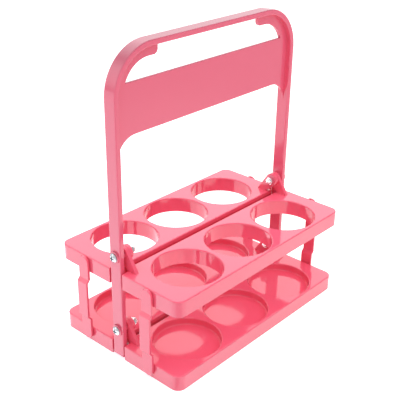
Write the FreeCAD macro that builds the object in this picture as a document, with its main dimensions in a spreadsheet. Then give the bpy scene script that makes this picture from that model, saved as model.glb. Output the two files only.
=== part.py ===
import FreeCAD, Part
import math
import os
import Sketcher

# Folding carrier for six bottles. It stands on z = 0, its handle lies in the plane y = 0 and its
# length runs along x. Front is -y, left is -x. All sizes are in millimetres.
SIZES = {
    # Bottle holes and the margins round them, which give the plan of a tray half
    "bottle_hole": 72.0,
    "bottle_gap": 6.4,
    "end_margin": 18.6,
    "inner_reach": 3.6,
    "inner_margin": 6.0,
    "outer_margin": 3.8,
    "fold_gap": 3.9,
    # Tray halves
    "tray_height": 17.2,
    "corner_radius": 9.7,
    "edge_radius": 1.4,
    "tray_skin": 2.4,
    "tray_wall": 2.4,
    "collar_wall": 2.2,
    "rim_radius": 1.2,
    "seat_depth": 8.6,
    "seat_floor": 2.4,
    "seat_radius": 1.6,
    "notch_reach": 9.2,
    "notch_room": 5.2,
    # Ribs under the trays
    "rib_width": 1.6,
    "rib_offset": 16.0,
    "rib_rise": 4.0,
    # Hinge ears on the trays
    "pivot_rise": 16.0,
    "ear_radius": 7.6,
    "ear_foot": 20.0,
    "ear_thickness": 4.0,
    "ear_gap": 0.3,
    # Handle frame
    "handle_height": 325.2,
    "strap_width": 14.8,
    "strap_thickness": 5.8,
    "strap_edge": 1.2,
    "shoulder_radius": 48.0,
    "leg_lift": 2.4,
    "web_thickness": 3.0,
    "web_edge": 0.6,
    "web_band": 10.3,
    "hold_height": 35.5,
    "panel_height": 50.7,
    "panel_fillet": 24.0,
    "nub_length": 12.0,
    "nub_radius": 5.0,
    "boss_diameter": 12.8,
    "boss_rise": 1.8,
    "spacer_diameter": 10.4,
    "spacer_rise": 3.0,
    # Pivot screws and cap nuts
    "screw_diameter": 5.0,
    "screw_clearance": 0.1,
    "head_diameter": 9.6,
    "head_height": 2.8,
    "head_rim": 0.7,
    "recess_length": 5.0,
    "recess_width": 1.3,
    "recess_depth": 1.5,
    "nut_flats": 8.0,
    "nut_height": 4.0,
    "nut_dome": 3.8,
    "nut_rise": 4.6,
    "nut_fit": 0.05,
    "thread_reach": 6.0,
    # Links at the tray ends
    "link_level": 10.2,
    "link_width": 14.0,
    "link_thickness": 2.4,
    "link_standoff": 1.1,
    "link_edge": 0.5,
    "joggle_offset": 3.0,
    "joggle_drop": 18.8,
    "joggle_run": 3.6,
    "peg_diameter": 5.0,
    "peg_clearance": 0.1,
    "peg_shoulder": 8.6,
    "peg_play": 0.2,
    "barb_diameter": 6.4,
    "barb_length": 2.2,
    "barb_taper": 0.9,
    "barb_slit": 1.2,
    "peg_boss": 1.4,
    # Length that every cut runs on beyond the faces that it opens
    "overrun": 5.0,
}

FRONT, REAR = -1, 1
LEFT, RIGHT = -1, 1
CLOSENESS = 1e-6

doc = FreeCAD.newDocument("carrier")
sheet = doc.addObject("Spreadsheet::Sheet", "size")
for row, (alias, value) in enumerate(SIZES.items(), 1):
    sheet.set(f"A{row}", alias)
    sheet.set(f"B{row}", str(value))
    sheet.setAlias(f"B{row}", alias)
doc.recompute()


# Sketches and features, with every size tied to the sheet
def number(expression):
    return float(sheet.evalExpression(expression))


def origin_of(body):
    return {feature.Role: feature for feature in body.Origin.OriginFeatures}


def add_sketch(body, name, plane, shift="0"):
    sketch = body.newObject("Sketcher::SketchObject", name)
    sketch.AttachmentSupport = [(origin_of(body)[plane], "")]
    sketch.MapMode = "FlatFace"
    sketch.setExpression("AttachmentOffset.Base.z", shift)
    return sketch


def bind(sketch, kind, where, expression):
    index = sketch.addConstraint(Sketcher.Constraint(kind, *where, number(expression)))
    sketch.setExpression(f"Constraints[{index}]", expression)


def bind_point(sketch, geometry, position, across, upward):
    bind(sketch, "DistanceX", (geometry, position), across)
    bind(sketch, "DistanceY", (geometry, position), upward)


def add_circle(sketch, across, upward, diameter):
    centre = FreeCAD.Vector(number(across), number(upward), 0)
    circle = Part.Circle(centre, FreeCAD.Vector(0, 0, 1), number(diameter) / 2)
    index = sketch.addGeometry(circle)
    bind_point(sketch, index, 3, across, upward)
    bind(sketch, "Diameter", (index,), diameter)


def add_arc(sketch, start, end, radius, turn):
    """The shorter arc from start to end; turn is 1 for anticlockwise and -1 for clockwise."""
    chord = end - start
    left = FreeCAD.Vector(-chord.y, chord.x, 0).normalize()
    depth = math.sqrt(max(radius ** 2 - (chord.Length / 2) ** 2, 0))
    crown = (start + end) / 2 + left * ((depth - radius) * turn)
    if turn == 1:
        return sketch.addGeometry(Part.Arc(start, crown, end)), 1, 2
    return sketch.addGeometry(Part.Arc(end, crown, start)), 2, 1


def add_line(sketch, start, end):
    return sketch.addGeometry(Part.LineSegment(start, end)), 1, 2


def add_outline(sketch, corners, bends=None):
    """Close a loop through the corners; bends gives the radius and turn of the arc after a corner."""
    bends = bends or {}
    points = [FreeCAD.Vector(number(across), number(upward), 0) for across, upward in corners]
    ends = []
    for step, start in enumerate(points):
        end = points[(step + 1) % len(points)]
        if step in bends:
            radius, turn = bends[step]
            ends.append(add_arc(sketch, start, end, number(radius), turn))
        else:
            ends.append(add_line(sketch, start, end))
    for step, (index, first, last) in enumerate(ends):
        following, joined, _ = ends[(step + 1) % len(ends)]
        sketch.addConstraint(Sketcher.Constraint("Coincident", index, last, following, joined))
        bind_point(sketch, index, first, *corners[step])
        if step in bends:
            bind(sketch, "Radius", (index,), bends[step][0])


def add_rectangle(sketch, left, bottom, right, top):
    add_outline(sketch, [(left, bottom), (right, bottom), (right, top), (left, top)])


def pad(body, sketch, name, length, backwards=False, symmetric=False):
    feature = body.newObject("PartDesign::Pad", name)
    feature.Profile = sketch
    feature.setExpression("Length", length)
    feature.Reversed = backwards
    feature.SideType = "Symmetric" if symmetric else "One side"
    doc.recompute()
    return feature


def pocket(body, sketch, name, length, backwards=False, symmetric=False):
    before = body.Shape.Volume
    feature = body.newObject("PartDesign::Pocket", name)
    feature.Profile = sketch
    feature.setExpression("Length", length)
    feature.Reversed = backwards
    feature.SideType = "Symmetric" if symmetric else "One side"
    doc.recompute()
    if body.Shape.Volume > before - CLOSENESS:
        raise RuntimeError(f"{body.Label}: {name} cuts nothing")
    return feature


def fillet(body, name, radius, wanted):
    base = body.Tip
    edges = [f"Edge{index}" for index, edge in enumerate(base.Shape.Edges, 1) if wanted(edge)]
    feature = body.newObject("PartDesign::Fillet", name)
    feature.Base = (base, edges)
    feature.setExpression("Radius", radius)
    doc.recompute()
    return feature


def level_edge(edge, height):
    box = edge.BoundBox
    return abs(box.ZMin - height) < CLOSENESS and abs(box.ZMax - height) < CLOSENESS


def new_body(label):
    body = doc.addObject("PartDesign::Body", label)
    body.Label = label
    return body


# Where things lie: bottles along x and y, the edges of the trays, the upper pair, the pivots
PITCH = "(size.bottle_hole + size.bottle_gap)"
HALF = f"({PITCH} + size.bottle_hole / 2 + size.end_margin)"
ROW = "(size.inner_reach + size.inner_margin + size.bottle_hole / 2)"
OUTER = f"({ROW} + size.bottle_hole / 2 + size.outer_margin)"
LIFT = f"({OUTER} - size.inner_reach + size.fold_gap)"
PIVOT = "(size.tray_height + size.pivot_rise)"


# Tray halves: moulded shells, open below
def tray_corners(side, inset):
    half = f"({HALF} - {inset})"
    straight = f"({HALF} - size.corner_radius)"
    throat = f"({HALF} - size.strap_thickness - size.notch_room - {inset})"
    outer = f"{side} * ({OUTER} - {inset})"
    shoulder = f"{side} * ({OUTER} - size.corner_radius)"
    inner = f"{side} * (size.inner_reach + {inset})"
    notch = f"{side} * (size.notch_reach + {inset})"
    corners = [
        (f"-{half}", notch), (f"-{half}", shoulder), (f"-{straight}", outer),
        (straight, outer), (half, shoulder), (half, notch),
        (throat, notch), (throat, inner), (f"-{throat}", inner), (f"-{throat}", notch),
    ]
    radius = f"(size.corner_radius - {inset})"
    return corners, {1: (radius, -side), 3: (radius, -side)}


def add_bottle_circles(sketch, side, diameter):
    for place in (f"-{PITCH}", "0", PITCH):
        add_circle(sketch, place, f"{side} * {ROW}", diameter)


def rounded_top_edge(edge):
    """Top edges of the outline, apart from the short ones round the legs."""
    if not level_edge(edge, number("size.tray_height")):
        return False
    middle = edge.CenterOfMass
    in_notch = abs(middle.y) < number("size.notch_reach") + CLOSENESS
    return not in_notch or abs(middle.x) < CLOSENESS


def hole_edge(edge, height):
    if not isinstance(edge.Curve, Part.Circle) or not level_edge(edge, height):
        return False
    return abs(edge.Curve.Radius - number("size.bottle_hole / 2")) < CLOSENESS


def add_ear(body, side, end, name):
    """A gusset with a round eye for the pivot screw. The front tray's ears lie next to the legs."""
    start = "size.strap_thickness + size.spacer_rise + size.ear_gap"
    if side == REAR:
        start = f"{start} + size.ear_thickness + size.ear_gap"
    shift = f"-{HALF} + {start}" if end == LEFT else f"{HALF} - ({start}) - size.ear_thickness"
    sketch = add_sketch(body, f"{name}_outline", "YZ_Plane", shift)
    base = "size.tray_height - size.tray_skin / 2"
    foot = (f"{side} * size.ear_foot", base)
    heel = (f"{side} * size.notch_reach", base)
    centre = FreeCAD.Vector(0, number(PIVOT), 0)
    radius = number("size.ear_radius")

    def touch(corner, turn):
        """Where the straight edge from a corner meets the eye."""
        point = FreeCAD.Vector(number(corner[0]), number(corner[1]), 0)
        away = point - centre
        angle = math.atan2(away.y, away.x) + turn * math.acos(radius / away.Length)
        return point, centre + FreeCAD.Vector(math.cos(angle), math.sin(angle), 0) * radius

    foot_point, foot_touch = touch(foot, side)
    heel_point, heel_touch = touch(heel, -side)
    slope, _, _ = add_line(sketch, foot_point, foot_touch)
    eye, first, last = add_arc(sketch, foot_touch, heel_touch, radius, side)
    inner, _, _ = add_line(sketch, heel_touch, heel_point)
    under, _, _ = add_line(sketch, heel_point, foot_point)
    sketch.addConstraint(Sketcher.Constraint("Tangent", slope, 2, eye, first))
    sketch.addConstraint(Sketcher.Constraint("Tangent", eye, last, inner, 1))
    sketch.addConstraint(Sketcher.Constraint("Coincident", inner, 2, under, 1))
    sketch.addConstraint(Sketcher.Constraint("Coincident", under, 2, slope, 1))
    bind_point(sketch, slope, 1, *foot)
    bind_point(sketch, under, 1, *heel)
    bind_point(sketch, eye, 3, "0", PIVOT)
    bind(sketch, "Radius", (eye,), "size.ear_radius")
    add_circle(sketch, "0", PIVOT, "size.screw_diameter + 2 * size.screw_clearance")
    pad(body, sketch, name, "size.ear_thickness")


def add_peg_seat(body, side, end, name):
    """A boss inside the end wall and the hole through both for a link's peg."""
    place = (f"{side} * {ROW}", "size.link_level")
    hole = "size.peg_diameter + 2 * size.peg_clearance"
    wall_face = f"{end} * ({HALF} - size.tray_wall)"
    sketch = add_sketch(body, f"{name}_boss_outline", "YZ_Plane", wall_face)
    add_circle(sketch, *place, f"{hole} + 2 * size.tray_wall")
    pad(body, sketch, f"{name}_boss", "size.peg_boss", backwards=end == RIGHT)
    sketch = add_sketch(body, f"{name}_hole_outline", "YZ_Plane", f"{end} * {HALF}")
    add_circle(sketch, *place, hole)
    pocket(body, sketch, f"{name}_hole", "size.tray_wall + size.peg_boss", backwards=end == LEFT)


def make_tray(label, side, upper):
    body = new_body(label)
    sketch = add_sketch(body, "plate_outline", "XY_Plane")
    add_outline(sketch, *tray_corners(side, "0"))
    pad(body, sketch, "plate", "size.tray_height")
    fillet(body, "soft_top", "size.edge_radius", rounded_top_edge)

    sketch = add_sketch(body, "hollow_outline", "XY_Plane")
    add_outline(sketch, *tray_corners(side, "size.tray_wall"))
    pocket(body, sketch, "hollow", "size.tray_height - size.tray_skin", backwards=True)

    under = "0" if upper else "(size.tray_height - size.seat_depth - size.seat_floor)"
    sketch = add_sketch(body, "collar_outline", "XY_Plane", under)
    add_bottle_circles(sketch, side, "size.bottle_hole + 2 * size.collar_wall")
    pad(body, sketch, "collars", f"size.tray_height - size.tray_skin - {under}")

    sketch = add_sketch(body, "rib_outline", "XY_Plane", "size.rib_rise")
    reach = f"({HALF} - size.tray_wall / 2)"
    for offset in ("-size.rib_offset", "size.rib_offset"):
        middle = f"{side} * {ROW} + ({offset})"
        low = f"{middle} - size.rib_width / 2"
        high = f"{middle} + size.rib_width / 2"
        add_rectangle(sketch, f"-{reach}", low, reach, high)
    pad(body, sketch, "ribs", "size.tray_height - size.tray_skin - size.rib_rise")

    sketch = add_sketch(body, "bottle_outline", "XY_Plane", "size.tray_height")
    add_bottle_circles(sketch, side, "size.bottle_hole")
    pocket(body, sketch, "bottle_holes", "size.tray_height" if upper else "size.seat_depth")
    top = number("size.tray_height")
    fillet(body, "soft_rims", "size.rim_radius", lambda edge: hole_edge(edge, top))
    if not upper:
        floor = number("size.tray_height - size.seat_depth")
        fillet(body, "soft_seats", "size.seat_radius", lambda edge: hole_edge(edge, floor))

    for end, word in ((LEFT, "left"), (RIGHT, "right")):
        add_ear(body, side, end, f"{word}_ear")
        add_peg_seat(body, side, end, f"{word}_peg")
    body.setExpression("Placement.Base.z", LIFT if upper else "0")
    return body


# Handle frame: a strap bent into an inverted U, a web in its shoulders and a panel across it
PANEL_TOP = "(size.handle_height - size.hold_height)"


def strap_corners(inset):
    half = f"({HALF} - {inset})"
    straight = f"({HALF} - size.shoulder_radius)"
    top = f"(size.handle_height - {inset})"
    shoulder = "(size.handle_height - size.shoulder_radius)"
    return half, straight, top, shoulder


def strap_outline(sketch):
    half, straight, top, shoulder = strap_corners("0")
    inner_half, _, inner_top, _ = strap_corners("size.strap_thickness")
    foot = "size.leg_lift"
    corners = [
        (f"-{half}", foot), (f"-{half}", shoulder), (f"-{straight}", top), (straight, top),
        (half, shoulder), (half, foot), (inner_half, foot), (inner_half, shoulder),
        (straight, inner_top), (f"-{straight}", inner_top),
        (f"-{inner_half}", shoulder), (f"-{inner_half}", foot),
    ]
    outer = "size.shoulder_radius"
    inner = "size.shoulder_radius - size.strap_thickness"
    add_outline(sketch, corners, {1: (outer, -1), 3: (outer, -1), 7: (inner, 1), 9: (inner, 1)})


def web_outline(sketch):
    """Panel, shoulder webs and the rounded nubs where they end under the grip."""
    middle = "size.strap_thickness / 2"
    half, straight, top, shoulder = strap_corners(middle)
    leg_face = f"({HALF} - size.strap_thickness)"
    panel_bottom = f"({PANEL_TOP} - size.panel_height)"
    fillet_start = f"({leg_face} - size.panel_fillet)"
    fillet_end = f"({panel_bottom} - size.panel_fillet)"
    bow = "(size.shoulder_radius - size.strap_thickness - size.web_band)"
    hold_reach = f"({straight} + sqrt({bow} ^ 2 - ({PANEL_TOP} - {shoulder}) ^ 2))"
    bow_top = f"({shoulder} + {bow})"
    nub_top = f"({bow_top} + size.nub_radius)"
    nub_tip = f"({straight} - size.nub_length)"
    nub_foot = f"({nub_tip} + size.nub_radius)"
    right = [
        (fillet_start, panel_bottom), (leg_face, fillet_end), (half, fillet_end), (half, shoulder),
        (straight, top), (nub_tip, top), (nub_tip, nub_top), (nub_foot, bow_top),
        (straight, bow_top), (hold_reach, PANEL_TOP),
    ]
    left = [(f"-{across}", upward) for across, upward in reversed(right)]
    rounds = {0: ("size.panel_fillet", -1), 3: (f"size.shoulder_radius - {middle}", 1),
              6: ("size.nub_radius", 1), 8: (bow, -1)}
    count = len(right)
    mirrored = {2 * count - 2 - step: bend for step, bend in rounds.items()}
    add_outline(sketch, right + left, {**rounds, **mirrored})


def long_strap_edge(edge):
    box = edge.BoundBox
    side = number("size.strap_width / 2")
    on_side = abs(abs(box.YMin) - side) < CLOSENESS and box.YLength < CLOSENESS
    return on_side and box.ZMax > number("size.leg_lift") + CLOSENESS


def hold_edge(edge):
    """The two long edges of the panel along the hand-hold."""
    box = edge.BoundBox
    side = number("size.web_thickness / 2")
    on_web = abs(abs(box.YMin) - side) < CLOSENESS and box.YLength < CLOSENESS
    return on_web and level_edge(edge, number(PANEL_TOP))


def add_pivot_circles(sketch, diameter):
    for level in (PIVOT, f"{LIFT} + {PIVOT}"):
        add_circle(sketch, "0", level, diameter)


def make_handle():
    body = new_body("handle_frame")
    sketch = add_sketch(body, "strap_profile", "XZ_Plane")
    strap_outline(sketch)
    pad(body, sketch, "strap", "size.strap_width", symmetric=True)
    fillet(body, "soft_strap", "size.strap_edge", long_strap_edge)

    sketch = add_sketch(body, "web_profile", "XZ_Plane")
    web_outline(sketch)
    pad(body, sketch, "web", "size.web_thickness", symmetric=True)
    fillet(body, "soft_hold", "size.web_edge", hold_edge)

    for end, word in ((LEFT, "left"), (RIGHT, "right")):
        sketch = add_sketch(body, f"{word}_boss_outline", "YZ_Plane", f"{end} * {HALF}")
        add_pivot_circles(sketch, "size.boss_diameter")
        pad(body, sketch, f"{word}_bosses", "size.boss_rise", backwards=end == LEFT)
        inner_face = f"{end} * ({HALF} - size.strap_thickness)"
        sketch = add_sketch(body, f"{word}_spacer_outline", "YZ_Plane", inner_face)
        add_pivot_circles(sketch, "size.spacer_diameter")
        pad(body, sketch, f"{word}_spacers", "size.spacer_rise", backwards=end == RIGHT)

    sketch = add_sketch(body, "pivot_outline", "YZ_Plane")
    add_pivot_circles(sketch, "size.screw_diameter + 2 * size.screw_clearance")
    across = f"2 * ({HALF} + size.boss_rise + size.overrun)"
    pocket(body, sketch, "pivot_holes", across, symmetric=True)
    return body


# Links: joggled bars with a peg at each end, drawn for the left end of the carrier
def link_profile(sketch):
    tip = f"({LIFT} / 2 + size.link_width / 2 + size.overrun)"
    near = "size.link_standoff"
    far = "(size.link_standoff + size.joggle_offset)"
    end = f"({LIFT} / 2 - size.joggle_drop)"
    start = f"({end} - size.joggle_run)"
    upper = [(near, tip), (near, end), (far, start)]
    inner = upper + [(across, f"-{upward}") for across, upward in reversed(upper)]
    outer = [(f"({across} + size.link_thickness)", upward) for across, upward in reversed(inner)]
    add_outline(sketch, [(f"-{across}", upward) for across, upward in inner + outer])


def stadium_outline(sketch):
    side = "size.link_width / 2"
    centre = f"{LIFT} / 2"
    corners = [(side, f"-{centre}"), (side, centre), (f"-{side}", centre), (f"-{side}", f"-{centre}")]
    crown = f"({centre} + {side})"
    top = ("0", crown)
    bottom = ("0", f"-{crown}")
    loop = [corners[0], corners[1], top, corners[2], corners[3], bottom]
    add_outline(sketch, loop, {step: (side, 1) for step in (1, 2, 4, 5)})


def add_peg_circles(sketch, diameter):
    for place in (f"-{LIFT} / 2", f"{LIFT} / 2"):
        add_circle(sketch, "0", place, diameter)


def link_face_edge(edge):
    """Edges round the outer face of the bar."""
    outer = number("size.link_standoff + size.link_thickness")
    if edge.BoundBox.YLength > number("size.link_width") - CLOSENESS:
        return False
    return all(vertex.X < -outer + CLOSENESS for vertex in edge.Vertexes)


def make_link(label, side, end):
    body = new_body(label)
    sketch = add_sketch(body, "bar_profile", "XZ_Plane")
    link_profile(sketch)
    pad(body, sketch, "bar", "size.link_width", symmetric=True)
    sketch = add_sketch(body, "bar_outline", "YZ_Plane")
    reach = "(size.link_width / 2 + size.overrun)"
    tip = f"({LIFT} / 2 + size.link_width / 2 + 2 * size.overrun)"
    add_rectangle(sketch, f"-{reach}", f"-{tip}", reach, tip)
    stadium_outline(sketch)
    depth = "2 * (size.link_standoff + size.joggle_offset + size.link_thickness + size.overrun)"
    pocket(body, sketch, "round_ends", depth, symmetric=True)
    fillet(body, "soft_bar", "size.link_edge", link_face_edge)

    sketch = add_sketch(body, "shoulder_outline", "YZ_Plane", "-size.link_standoff")
    add_peg_circles(sketch, "size.peg_shoulder")
    pad(body, sketch, "shoulders", "size.link_standoff - size.peg_play")
    sketch = add_sketch(body, "peg_outline", "YZ_Plane", "-size.link_standoff")
    add_peg_circles(sketch, "size.peg_diameter")
    grip = "size.tray_wall + size.peg_boss + size.peg_play"
    pad(body, sketch, "pegs", f"size.link_standoff + {grip}")
    sketch = add_sketch(body, "barb_outline", "YZ_Plane", grip)
    add_peg_circles(sketch, "size.barb_diameter")
    pad(body, sketch, "barbs", "size.barb_length")
    end_face = number(f"{grip} + size.barb_length")
    base = body.Tip
    rims = [f"Edge{index}" for index, edge in enumerate(base.Shape.Edges, 1)
            if abs(edge.BoundBox.XMin - end_face) < CLOSENESS]
    taper = body.newObject("PartDesign::Chamfer", "barb_tapers")
    taper.Base = (base, rims)
    taper.setExpression("Size", "size.barb_taper")
    doc.recompute()
    sketch = add_sketch(body, "slit_outline", "YZ_Plane", f"{grip} + size.barb_length")
    reach = "size.barb_diameter"
    for level in (f"-{LIFT} / 2", f"{LIFT} / 2"):
        low = f"{level} - size.barb_slit / 2"
        high = f"{level} + size.barb_slit / 2"
        add_rectangle(sketch, f"-{reach}", low, reach, high)
    pocket(body, sketch, "slits", "size.barb_length + size.peg_boss + size.peg_play")

    turn = 0 if end == LEFT else 180
    body.Placement = FreeCAD.Placement(FreeCAD.Vector(), FreeCAD.Rotation(FreeCAD.Vector(0, 0, 1), turn))
    body.setExpression("Placement.Base.x", f"{end} * {HALF}")
    body.setExpression("Placement.Base.y", f"{side} * {ROW}")
    body.setExpression("Placement.Base.z", f"size.link_level + {LIFT} / 2")
    return body


# Pivot screws and cap nuts, drawn along x for the left end, with x = 0 on the boss of the leg
LEG = "size.boss_rise + size.strap_thickness + size.spacer_rise"
STACK = f"({LEG} + 3 * size.ear_gap + 2 * size.ear_thickness)"


def make_screw(label, end, upper):
    body = new_body(label)
    sketch = add_sketch(body, "screw_profile", "XZ_Plane")
    shank = "size.screw_diameter / 2"
    head = "size.head_diameter / 2"
    tip = f"({STACK} + size.thread_reach)"
    crown = "size.recess_width"
    corners = [("-size.head_height", "0"), (tip, "0"), (tip, shank), ("0", shank), ("0", head),
               ("-size.head_rim", head), ("-size.head_height", crown)]
    dome = "(size.head_diameter * size.head_diameter / (8 * size.head_height) + size.head_height / 2)"
    add_outline(sketch, corners, {5: (dome, 1)})
    turned = body.newObject("PartDesign::Revolution", "turned")
    turned.Profile = sketch
    turned.ReferenceAxis = (origin_of(body)["X_Axis"], [""])
    doc.recompute()
    sketch = add_sketch(body, "recess_outline", "YZ_Plane", "-size.head_height")
    arm = "size.recess_length / 2"
    half = "size.recess_width / 2"
    quarter = [(arm, f"-{half}"), (arm, half), (half, half),
               (half, arm), (f"-{half}", arm), (f"-{half}", half)]
    opposite = [(f"-({across})", f"-({upward})") for across, upward in quarter]
    add_outline(sketch, quarter + opposite)
    pocket(body, sketch, "recess", "size.recess_depth", backwards=True)
    place_fastener(body, end, upper, "size.boss_rise")
    return body


def make_nut(label, end, upper):
    body = new_body(label)
    sketch = add_sketch(body, "hex_outline", "YZ_Plane")
    corner = "size.nut_flats / sqrt(3)"
    turns = [f"{60 * step} deg" for step in range(6)]
    add_outline(sketch, [(f"{corner} * cos({turn})", f"{corner} * sin({turn})") for turn in turns])
    pad(body, sketch, "hex", "size.nut_height")
    sketch = add_sketch(body, "dome_profile", "XZ_Plane")
    base = "size.nut_height"
    top = f"({base} + size.nut_rise)"
    corners = [("0", "0"), (top, "0"), (base, "size.nut_dome"), ("0", "size.nut_dome")]
    dome = "((size.nut_rise ^ 2 + size.nut_dome ^ 2) / (2 * size.nut_dome))"
    add_outline(sketch, corners, {1: (dome, 1)})
    turned = body.newObject("PartDesign::Revolution", "dome")
    turned.Profile = sketch
    turned.ReferenceAxis = (origin_of(body)["X_Axis"], [""])
    doc.recompute()
    sketch = add_sketch(body, "thread_outline", "YZ_Plane")
    add_circle(sketch, "0", "0", "size.screw_diameter + 2 * size.nut_fit")
    pocket(body, sketch, "thread", "size.thread_reach + size.ear_gap", backwards=True)
    place_fastener(body, end, upper, f"size.boss_rise - {STACK}")
    return body


def place_fastener(body, end, upper, outwards):
    turn = 0 if end == LEFT else 180
    body.Placement = FreeCAD.Placement(FreeCAD.Vector(), FreeCAD.Rotation(FreeCAD.Vector(0, 0, 1), turn))
    body.setExpression("Placement.Base.x", f"{end} * ({HALF} + {outwards})")
    body.setExpression("Placement.Base.z", f"{LIFT} + {PIVOT}" if upper else PIVOT)


# The whole carrier
pieces = [make_handle()]
for level, upper in (("upper", True), ("lower", False)):
    for row_name, side in (("front", FRONT), ("rear", REAR)):
        pieces.append(make_tray(f"{row_name}_{level}_tray", side, upper))
    for end_name, end in (("left", LEFT), ("right", RIGHT)):
        pieces.append(make_screw(f"{level}_{end_name}_screw", end, upper))
        pieces.append(make_nut(f"{level}_{end_name}_nut", end, upper))
for row_name, side in (("front", FRONT), ("rear", REAR)):
    for end_name, end in (("left", LEFT), ("right", RIGHT)):
        pieces.append(make_link(f"{row_name}_{end_name}_link", side, end))
doc.recompute()

# Nothing is written unless every feature and every piece came out sound
faults = [item.Label for item in doc.Objects if "Invalid" in item.State or "Error" in item.State]
for piece in pieces:
    shape = piece.Shape
    if shape.isNull() or not shape.isValid() or len(shape.Solids) != 1:
        faults.append(f"{piece.Label} shape")
if faults:
    raise RuntimeError("not sound: " + ", ".join(faults))
os.makedirs("parts", exist_ok=True)
for piece in pieces:
    piece.Shape.exportStep(f"parts/{piece.Label}.step")
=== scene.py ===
import math

import bpy
from mathutils import Matrix, Vector

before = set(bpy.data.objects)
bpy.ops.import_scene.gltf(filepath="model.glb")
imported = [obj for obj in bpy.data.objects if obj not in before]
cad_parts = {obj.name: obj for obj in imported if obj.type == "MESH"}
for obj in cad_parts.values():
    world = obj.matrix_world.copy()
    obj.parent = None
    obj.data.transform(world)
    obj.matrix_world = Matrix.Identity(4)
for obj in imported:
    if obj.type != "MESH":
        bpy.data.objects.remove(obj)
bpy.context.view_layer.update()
bpy.ops.object.select_all(action="DESELECT")
scene = bpy.context.scene

# Handle frame: one injection moulding in glossy pink plastic, a strap bent into an inverted U with a
# thin panel across it. The mould leaves a faint ripple and very slight cloudiness in the colour. Faces that
# look up, on the grip and shoulders, carry painted shade in a darker, greyer colour. Lengths here and below
# are in metres.
HANDLE_PINK = (0.89, 0.14, 0.232, 1.0)
HANDLE_PINK_DEEP = (0.88, 0.13, 0.22, 1.0)
HANDLE_ROUGHNESS = (0.12, 0.17)
HANDLE_RIPPLE = 0.06
CLOUD_SCALE = 22.0
CLOUD_DETAIL = 3.0
RUB_SCALE = 75.0
RUB_DETAIL = 5.0
RUB_GRAIN = 0.65
RUB_SPAN = (0.3, 0.75)
RIPPLE_SCALE = 420.0
RIPPLE_DETAIL = 2.0
RIPPLE_HEIGHT = 0.00005
# Painted shade: faces of the handle that look up are turned to this darker, greyer colour.
GRIP_PAINTED_SHADE = (0.5, 0.11, 0.17, 1.0)
UPWARD_SHADE_SPAN = (0.1, 0.9)


def new_node(tree, kind, **sockets):
    """A node with values on its sockets. An underscore stands for a space in a socket's name."""
    node = tree.nodes.new(kind)
    for name, value in sockets.items():
        node.inputs[name.replace("_", " ")].default_value = value
    return node


def ranged(tree, value, span, ends=(0.0, 1.0)):
    """Turns a value that runs over a span into one that runs between two ends."""
    node = new_node(tree, "ShaderNodeMapRange", From_Min=span[0], From_Max=span[1],
                    To_Min=ends[0], To_Max=ends[1])
    tree.links.new(value, node.inputs["Value"])
    return node.outputs["Result"]


def colour_mix(tree, **colours):
    """A mix of the colours A and B, which may also be linked later."""
    mix = tree.nodes.new("ShaderNodeMix")
    mix.data_type = "RGBA"
    for side, colour in colours.items():
        mix.inputs[side].default_value = colour
    return mix


def moulded_surface_group():
    """Cloudy colour, fine ripple and faint rubbed patches, shared by all moulded pieces."""
    group = bpy.data.node_groups.new("moulded surface", "ShaderNodeTree")
    sockets = (
        ("Pale", "INPUT", "NodeSocketColor"),
        ("Deep", "INPUT", "NodeSocketColor"),
        ("Gloss", "INPUT", "NodeSocketFloat"),
        ("Rubbed", "INPUT", "NodeSocketFloat"),
        ("Color", "OUTPUT", "NodeSocketColor"),
        ("Roughness", "OUTPUT", "NodeSocketFloat"),
        ("Height", "OUTPUT", "NodeSocketFloat"),
    )
    for name, way, kind in sockets:
        group.interface.new_socket(name, in_out=way, socket_type=kind)
    entry = group.nodes.new("NodeGroupInput")
    result = group.nodes.new("NodeGroupOutput")
    place = group.nodes.new("ShaderNodeTexCoord")
    clouds = new_node(group, "ShaderNodeTexNoise", Scale=CLOUD_SCALE, Detail=CLOUD_DETAIL)
    rubs = new_node(group, "ShaderNodeTexNoise", Scale=RUB_SCALE, Detail=RUB_DETAIL, Roughness=RUB_GRAIN)
    ripple = new_node(group, "ShaderNodeTexNoise", Scale=RIPPLE_SCALE, Detail=RIPPLE_DETAIL)
    tint = colour_mix(group)
    rough = new_node(group, "ShaderNodeMapRange", From_Min=RUB_SPAN[0], From_Max=RUB_SPAN[1])
    link = group.links.new
    for texture in (clouds, rubs, ripple):
        link(place.outputs["Object"], texture.inputs["Vector"])
    link(clouds.outputs["Fac"], tint.inputs["Factor"])
    link(entry.outputs["Pale"], tint.inputs["A"])
    link(entry.outputs["Deep"], tint.inputs["B"])
    link(tint.outputs["Result"], result.inputs["Color"])
    link(rubs.outputs["Fac"], rough.inputs["Value"])
    link(entry.outputs["Gloss"], rough.inputs["To Min"])
    link(entry.outputs["Rubbed"], rough.inputs["To Max"])
    link(rough.outputs["Result"], result.inputs["Roughness"])
    link(ripple.outputs["Fac"], result.inputs["Height"])
    return group


moulded_surface = moulded_surface_group()


def moulded_plastic(name, pale, deep, roughness, ripple):
    """Plastic that varies between two colours, and in roughness from its glossy to its rubbed patches."""
    material = bpy.data.materials.new(name)
    material.use_nodes = True
    tree = material.node_tree
    shader = tree.nodes["Principled BSDF"]
    surface = tree.nodes.new("ShaderNodeGroup")
    surface.node_tree = moulded_surface
    surface.name = "moulded surface"
    surface.inputs["Pale"].default_value = pale
    surface.inputs["Deep"].default_value = deep
    surface.inputs["Gloss"].default_value = roughness[0]
    surface.inputs["Rubbed"].default_value = roughness[1]
    bump = new_node(tree, "ShaderNodeBump", Strength=ripple, Distance=RIPPLE_HEIGHT)
    tree.links.new(surface.outputs["Color"], shader.inputs["Base Color"])
    tree.links.new(surface.outputs["Roughness"], shader.inputs["Roughness"])
    tree.links.new(surface.outputs["Height"], bump.inputs["Height"])
    tree.links.new(bump.outputs["Normal"], shader.inputs["Normal"])
    return material


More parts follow.
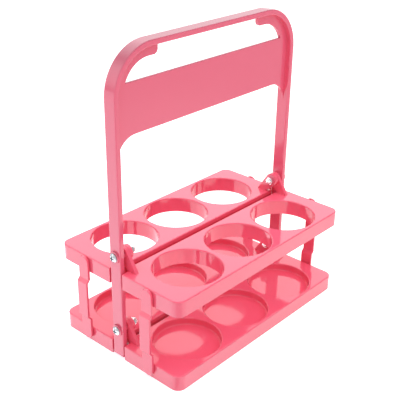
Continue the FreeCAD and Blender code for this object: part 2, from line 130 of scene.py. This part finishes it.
def tint_plastic(material, mask, colour):
    """Turns the plastic towards a colour where the mask is high."""
    tree = material.node_tree
    surface = tree.nodes["moulded surface"]
    for name in ("Pale", "Deep"):
        tint = colour_mix(tree, A=surface.inputs[name].default_value, B=colour)
        tree.links.new(mask, tint.inputs["Factor"])
        tree.links.new(tint.outputs["Result"], surface.inputs[name])


def shade_upward_faces(material):
    """Paints shade on the plastic where it faces up, on the grip and the shoulders: a darker, greyer colour.
    """
    tree = material.node_tree
    place = tree.nodes.new("ShaderNodeTexCoord")
    facing = tree.nodes.new("ShaderNodeSeparateXYZ")
    tree.links.new(place.outputs["Normal"], facing.inputs["Vector"])
    tint_plastic(material, ranged(tree, facing.outputs["Z"], UPWARD_SHADE_SPAN), GRIP_PAINTED_SHADE)


def dress(node, material):
    """Gives a piece of the frame its one material."""
    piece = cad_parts[node]
    piece.data.materials.clear()
    piece.data.materials.append(material)


handle_plastic = moulded_plastic("handle plastic", HANDLE_PINK, HANDLE_PINK_DEEP,
                                 HANDLE_ROUGHNESS, HANDLE_RIPPLE)
# Painted shade on the handle's faces that look up.
shade_upward_faces(handle_plastic)
dress("handle_frame", handle_plastic)

# Trays: four injection moulded half trays, open below, with rounded rims. The upper ones have holes
# that hold the bottles upright and the lower ones flat seats. All hang on the handle's legs. Deep in the
# slot between the front half and the rear half, the plastic carries painted shade.
PINK = (0.95, 0.128, 0.215, 1.0)
PINK_DEEP = (0.94, 0.118, 0.203, 1.0)
TRAY_ROUGHNESS = (0.06, 0.1)
TRAY_RIPPLE = 0.05
TRAY_TOPS = {"upper": 0.1029, "lower": 0.0172}
# Painted shade: deep below the tray top, the slot walls are turned to this darker colour.
SLOT_PAINTED_SHADE = (0.72, 0.06, 0.11, 1.0)
SLOT_HALF_WIDTH = 0.0042
SLOT_DEPTHS = (0.0036, 0.0054)


def worked_out(tree, kind, operation, values):
    """A node that works on linked sockets and plain values by one operation."""
    node = tree.nodes.new(kind)
    node.operation = operation
    for index, value in enumerate(values):
        if isinstance(value, bpy.types.NodeSocket):
            tree.links.new(value, node.inputs[index])
        else:
            node.inputs[index].default_value = value
    return node


def maths(tree, operation, *values):
    """The number that an operation gives."""
    return worked_out(tree, "ShaderNodeMath", operation, values).outputs["Value"]


def slot_shade_group():
    """A mask for painted shade, high on the slot walls, deep below the top of the tray."""
    group = bpy.data.node_groups.new("slot painted shade", "ShaderNodeTree")
    group.interface.new_socket("Tray Top", in_out="INPUT", socket_type="NodeSocketFloat")
    group.interface.new_socket("Mask", in_out="OUTPUT", socket_type="NodeSocketFloat")
    entry = group.nodes.new("NodeGroupInput")
    result = group.nodes.new("NodeGroupOutput")
    place = group.nodes.new("ShaderNodeTexCoord")
    axes = group.nodes.new("ShaderNodeSeparateXYZ")
    group.links.new(place.outputs["Object"], axes.inputs["Vector"])
    across = maths(group, "ABSOLUTE", axes.outputs["Y"])
    in_slot = maths(group, "LESS_THAN", across, SLOT_HALF_WIDTH)
    depth = maths(group, "SUBTRACT", entry.outputs["Tray Top"], axes.outputs["Z"])
    mask = maths(group, "MULTIPLY", in_slot, ranged(group, depth, SLOT_DEPTHS))
    group.links.new(mask, result.inputs["Mask"])
    return group


slot_shade = slot_shade_group()


def shade_in_slot(material, tray_top):
    """Paints shade on the plastic of a tray deep in its slot."""
    slot_shade_node = material.node_tree.nodes.new("ShaderNodeGroup")
    slot_shade_node.node_tree = slot_shade
    slot_shade_node.inputs["Tray Top"].default_value = tray_top
    tint_plastic(material, slot_shade_node.outputs["Mask"], SLOT_PAINTED_SHADE)


for level, tray_top in TRAY_TOPS.items():
    tray_plastic = moulded_plastic(f"{level} tray plastic", PINK, PINK_DEEP, TRAY_ROUGHNESS, TRAY_RIPPLE)
    # Painted shade deep in the slot between the front and rear trays.
    shade_in_slot(tray_plastic, tray_top)
    for row in ("front", "rear"):
        dress(f"{row}_{level}_tray", tray_plastic)

# Links: joggled bars moulded with split pegs that snap into the end walls of the trays. They keep
# each upper tray level with the one below it.
LINK_ROUGHNESS = (0.13, 0.18)
LINK_RIPPLE = 0.06
link_plastic = moulded_plastic("link plastic", PINK, PINK_DEEP, LINK_ROUGHNESS, LINK_RIPPLE)
for row in ("front", "rear"):
    for end in ("left", "right"):
        dress(f"{row}_{end}_link", link_plastic)

# Pivot screws and cap nuts: bright zinc plated steel, pressed and turned. Each screw goes through a
# leg and two hinge ears, and its nut closes the inner end.
SCREW_ZINC = (0.42, 0.43, 0.45, 1.0)
SCREW_ZINC_DULL = (0.3, 0.31, 0.32, 1.0)
NUT_ZINC = (0.86, 0.86, 0.88, 1.0)
NUT_ZINC_DULL = (0.7, 0.7, 0.72, 1.0)
ZINC_ROUGHNESS = (0.12, 0.3)
BLOTCH_SCALE = 900.0
BLOTCH_DETAIL = 3.0


def plated_steel(name, bright, dull):
    """Steel with fine blotches in its plating, which are duller and rougher."""
    material = bpy.data.materials.new(name)
    material.use_nodes = True
    tree = material.node_tree
    shader = tree.nodes["Principled BSDF"]
    place = tree.nodes.new("ShaderNodeTexCoord")
    blotches = new_node(tree, "ShaderNodeTexNoise", Scale=BLOTCH_SCALE, Detail=BLOTCH_DETAIL)
    tint = colour_mix(tree, A=bright, B=dull)
    roughness = ranged(tree, blotches.outputs["Fac"], (0.0, 1.0), ZINC_ROUGHNESS)
    tree.links.new(place.outputs["Object"], blotches.inputs["Vector"])
    tree.links.new(blotches.outputs["Fac"], tint.inputs["Factor"])
    tree.links.new(tint.outputs["Result"], shader.inputs["Base Color"])
    tree.links.new(roughness, shader.inputs["Roughness"])
    shader.inputs["Metallic"].default_value = 1.0
    return material


screw_steel = plated_steel("plated screw steel", SCREW_ZINC, SCREW_ZINC_DULL)
nut_steel = plated_steel("bright nut steel", NUT_ZINC, NUT_ZINC_DULL)
for level in ("upper", "lower"):
    for end in ("left", "right"):
        dress(f"{level}_{end}_screw", screw_steel)
        dress(f"{level}_{end}_nut", nut_steel)

# Floor: a wide sheet of white paper. The camera sees it lifted to white, with the carrier's soft shadow.
# In the plastic it shows brighter still, cool and wide on the left, warmer and fading on the right, but
# dimmer behind the carrier and in a wedge that opens from the near corner.
FLOOR_SIZE = 8.0
FLOOR_PAPER = (0.8, 0.8, 0.8, 1.0)
FLOOR_SEEN = 0.62
LEFT_POOL = (2.2, 1.55)
LEFT_TINT = (0.95, 1.0, 1.08, 1.0)
RIGHT_POOL = (1.5, 0.1)
RIGHT_TINT = (1.0, 1.0, 0.93, 1.0)
POOL_REACH = (0.25, 0.9)
POOL_SEAM = 0.08
TOWARDS_LEFT = (-0.67, 0.74, 0.0)
NEAR_CORNER = (-0.135, -0.08, 0.0)
WEDGE_SIDE = (-0.67, -0.74, 0.0)
WEDGE_EDGE = (0.7, 0.95)
WEDGE_GLOW = 0.35
BEHIND_SIDE = (0.745, 0.666, 0.0)
BEHIND_EDGE = (0.05, 0.2)
BEHIND_GLOW = 0.5


def vector_maths(tree, operation, *values):
    """The vector that an operation gives."""
    return worked_out(tree, "ShaderNodeVectorMath", operation, values).outputs["Vector"]


def length_along(tree, vector, side):
    """How far a vector goes towards a side."""
    return worked_out(tree, "ShaderNodeVectorMath", "DOT_PRODUCT", (vector, side)).outputs["Value"]


bpy.ops.mesh.primitive_plane_add(size=FLOOR_SIZE, location=(0, 0, 0))
floor = bpy.context.object
floor.name = "paper floor"
paper = bpy.data.materials.new("white paper")
paper.use_nodes = True
paper_tree = paper.node_tree
paper_tree.nodes.clear()
spot = paper_tree.nodes.new("ShaderNodeTexCoord").outputs["Object"]
floor_ray = paper_tree.nodes.new("ShaderNodeLightPath").outputs
reach = worked_out(paper_tree, "ShaderNodeVectorMath", "LENGTH", (spot,)).outputs["Value"]
to_left = length_along(paper_tree, spot, TOWARDS_LEFT)
left_share = ranged(paper_tree, to_left, (-POOL_SEAM, POOL_SEAM))
pool = paper_tree.nodes.new("ShaderNodeMix")
pool_tint = colour_mix(paper_tree, A=RIGHT_TINT, B=LEFT_TINT)
paper_tree.links.new(left_share, pool.inputs["Factor"])
paper_tree.links.new(left_share, pool_tint.inputs["Factor"])
for side, near_and_far in (("A", RIGHT_POOL), ("B", LEFT_POOL)):
    fading = ranged(paper_tree, reach, POOL_REACH, near_and_far)
    paper_tree.links.new(fading, pool.inputs[side])
from_corner = vector_maths(paper_tree, "SUBTRACT", spot, NEAR_CORNER)
bearing = vector_maths(paper_tree, "NORMALIZE", from_corner)
to_wedge = length_along(paper_tree, bearing, WEDGE_SIDE)
wedge = ranged(paper_tree, to_wedge, WEDGE_EDGE, (1.0, WEDGE_GLOW))
to_back = length_along(paper_tree, spot, BEHIND_SIDE)
behind = ranged(paper_tree, to_back, BEHIND_EDGE, (1.0, BEHIND_GLOW))
shaded = maths(paper_tree, "MULTIPLY", wedge, behind)
dimmed = maths(paper_tree, "MULTIPLY", pool.outputs["Result"], shaded)
in_plastic = maths(paper_tree, "MULTIPLY", floor_ray["Is Glossy Ray"], dimmed)
lift = maths(paper_tree, "MULTIPLY_ADD", floor_ray["Is Camera Ray"], FLOOR_SEEN, in_plastic)
diffuse = new_node(paper_tree, "ShaderNodeBsdfDiffuse", Color=FLOOR_PAPER)
glow = paper_tree.nodes.new("ShaderNodeEmission")
both = paper_tree.nodes.new("ShaderNodeAddShader")
paper_output = paper_tree.nodes.new("ShaderNodeOutputMaterial")
paper_tree.links.new(pool_tint.outputs["Result"], glow.inputs["Color"])
paper_tree.links.new(lift, glow.inputs["Strength"])
paper_tree.links.new(diffuse.outputs["BSDF"], both.inputs[0])
paper_tree.links.new(glow.outputs["Emission"], both.inputs[1])
paper_tree.links.new(both.outputs["Shader"], paper_output.inputs["Surface"])
floor.data.materials.append(paper)

# Room: a light tent, bright overhead and softly filled from the front and the back. In the plastic pale
# sheets show on those two sides, brighter towards the top behind, and a smaller glow on the left.
ROOM_WHITE = (1.0, 1.0, 1.0, 1.0)
TENT_TOP = 1.42
TENT_RISE = (0.5, 0.6)
OVERHEAD = (0.0, 0.0, 1.0)
SHEET_SIDE = (0.745, 0.666, 0.0)
SHEET_FILL = 0.4
SHEET_EDGE = (0.25, 0.6)
SHEET_GLOW = 1.45
WALL_GLOW = 0.45
UPPER_GLOW = 1.0
UPPER_SIDE = (0.37, 0.33, 0.87)
UPPER_EDGE = (0.72, 0.86)
LEFT_GLOW = 2.3
LEFT_SIDE = (-0.667, 0.593, 0.448)
LEFT_EDGE = (0.85, 0.97)
SEEN_WHITE = 1.2
world = bpy.data.worlds.new("white studio")
scene.world = world
world.use_nodes = True
world_tree = world.node_tree
background = world_tree.nodes["Background"]
background.inputs["Color"].default_value = ROOM_WHITE
direction = world_tree.nodes.new("ShaderNodeTexCoord").outputs["Generated"]
room_ray = world_tree.nodes.new("ShaderNodeLightPath").outputs


def light_towards(side, edge, foot, top, both_ways=False):
    """A light that rises from foot to top as the direction turns to a side, or to either of two sides."""
    facing = length_along(world_tree, direction, side)
    if both_ways:
        facing = maths(world_tree, "ABSOLUTE", facing)
    return ranged(world_tree, facing, edge, (foot, top))


tent_top = light_towards(OVERHEAD, TENT_RISE, 0.0, TENT_TOP)
sheet_fill = light_towards(SHEET_SIDE, SHEET_EDGE, 0.0, SHEET_FILL, both_ways=True)
sheet_glow = light_towards(SHEET_SIDE, SHEET_EDGE, WALL_GLOW, SHEET_GLOW, both_ways=True)
upper_glow = light_towards(UPPER_SIDE, UPPER_EDGE, 0.0, UPPER_GLOW)
left_glow = light_towards(LEFT_SIDE, LEFT_EDGE, 0.0, LEFT_GLOW)
tent_light = maths(world_tree, "ADD", tent_top, sheet_fill)
pale_sheets = maths(world_tree, "ADD", sheet_glow, upper_glow)
mirrored_room = maths(world_tree, "ADD", pale_sheets, left_glow)
room_light = world_tree.nodes.new("ShaderNodeMix")
world_tree.links.new(room_ray["Is Glossy Ray"], room_light.inputs["Factor"])
world_tree.links.new(tent_light, room_light.inputs["A"])
world_tree.links.new(mirrored_room, room_light.inputs["B"])
seen = maths(world_tree, "MULTIPLY_ADD", room_ray["Is Camera Ray"], SEEN_WHITE, room_light.outputs["Result"])
world_tree.links.new(seen, background.inputs["Strength"])

# Lamps: two soft boxes, low and near, on the right and behind. They are kept out of the reflections, which
# the paper and the room give.
BOX_PLACES = {"right box": (0.55, -0.95, 0.42), "rear box": (-0.3, 1.05, 0.42)}
BOX_SIZE = (0.9, 0.6)
BOX_POWER = 1.4
BOX_AIM = Vector((0, 0, 0.12))
for box_name, box_place in BOX_PLACES.items():
    lamp = bpy.data.lights.new(box_name, "AREA")
    lamp.shape = "RECTANGLE"
    lamp.size = BOX_SIZE[0]
    lamp.size_y = BOX_SIZE[1]
    lamp.energy = BOX_POWER
    box = bpy.data.objects.new(box_name, lamp)
    scene.collection.objects.link(box)
    box.location = box_place
    box.rotation_euler = (BOX_AIM - Vector(box_place)).to_track_quat("-Z", "Y").to_euler()
    box.visible_glossy = False

# Camera: a long lens a little above the carrier, turned to its left end. It is tilted by a small roll,
# and its lens is set from the focal length in pixels of the square picture.
AZIMUTH = math.radians(-48.247)
ELEVATION = math.radians(26.140)
ROLL = math.radians(0.888)
DISTANCE = 0.8359
FOCUS = Vector((-0.00224, 0.00737, 0.13183))
PICTURE_WIDTH = 400
FOCAL_PIXELS = 772.889
SENSOR_WIDTH = 36.0
camera_data = bpy.data.cameras.new("camera")
camera = bpy.data.objects.new("camera", camera_data)
scene.collection.objects.link(camera)
level_back = Vector((math.sin(AZIMUTH), -math.cos(AZIMUTH), 0))
back = level_back * math.cos(ELEVATION) + Vector((0, 0, math.sin(ELEVATION)))
right = Vector((math.cos(AZIMUTH), math.sin(AZIMUTH), 0))
up = back.cross(right)
tilted_right = right * math.cos(ROLL) + up * math.sin(ROLL)
tilted_up = up * math.cos(ROLL) - right * math.sin(ROLL)
turn = Matrix((tilted_right, tilted_up, back)).transposed()
camera.matrix_world = Matrix.Translation(FOCUS + back * DISTANCE) @ turn.to_4x4()
camera_data.sensor_width = SENSOR_WIDTH
camera_data.lens = FOCAL_PIXELS / PICTURE_WIDTH * SENSOR_WIDTH
scene.camera = camera
scene.view_settings.view_transform = "Standard"
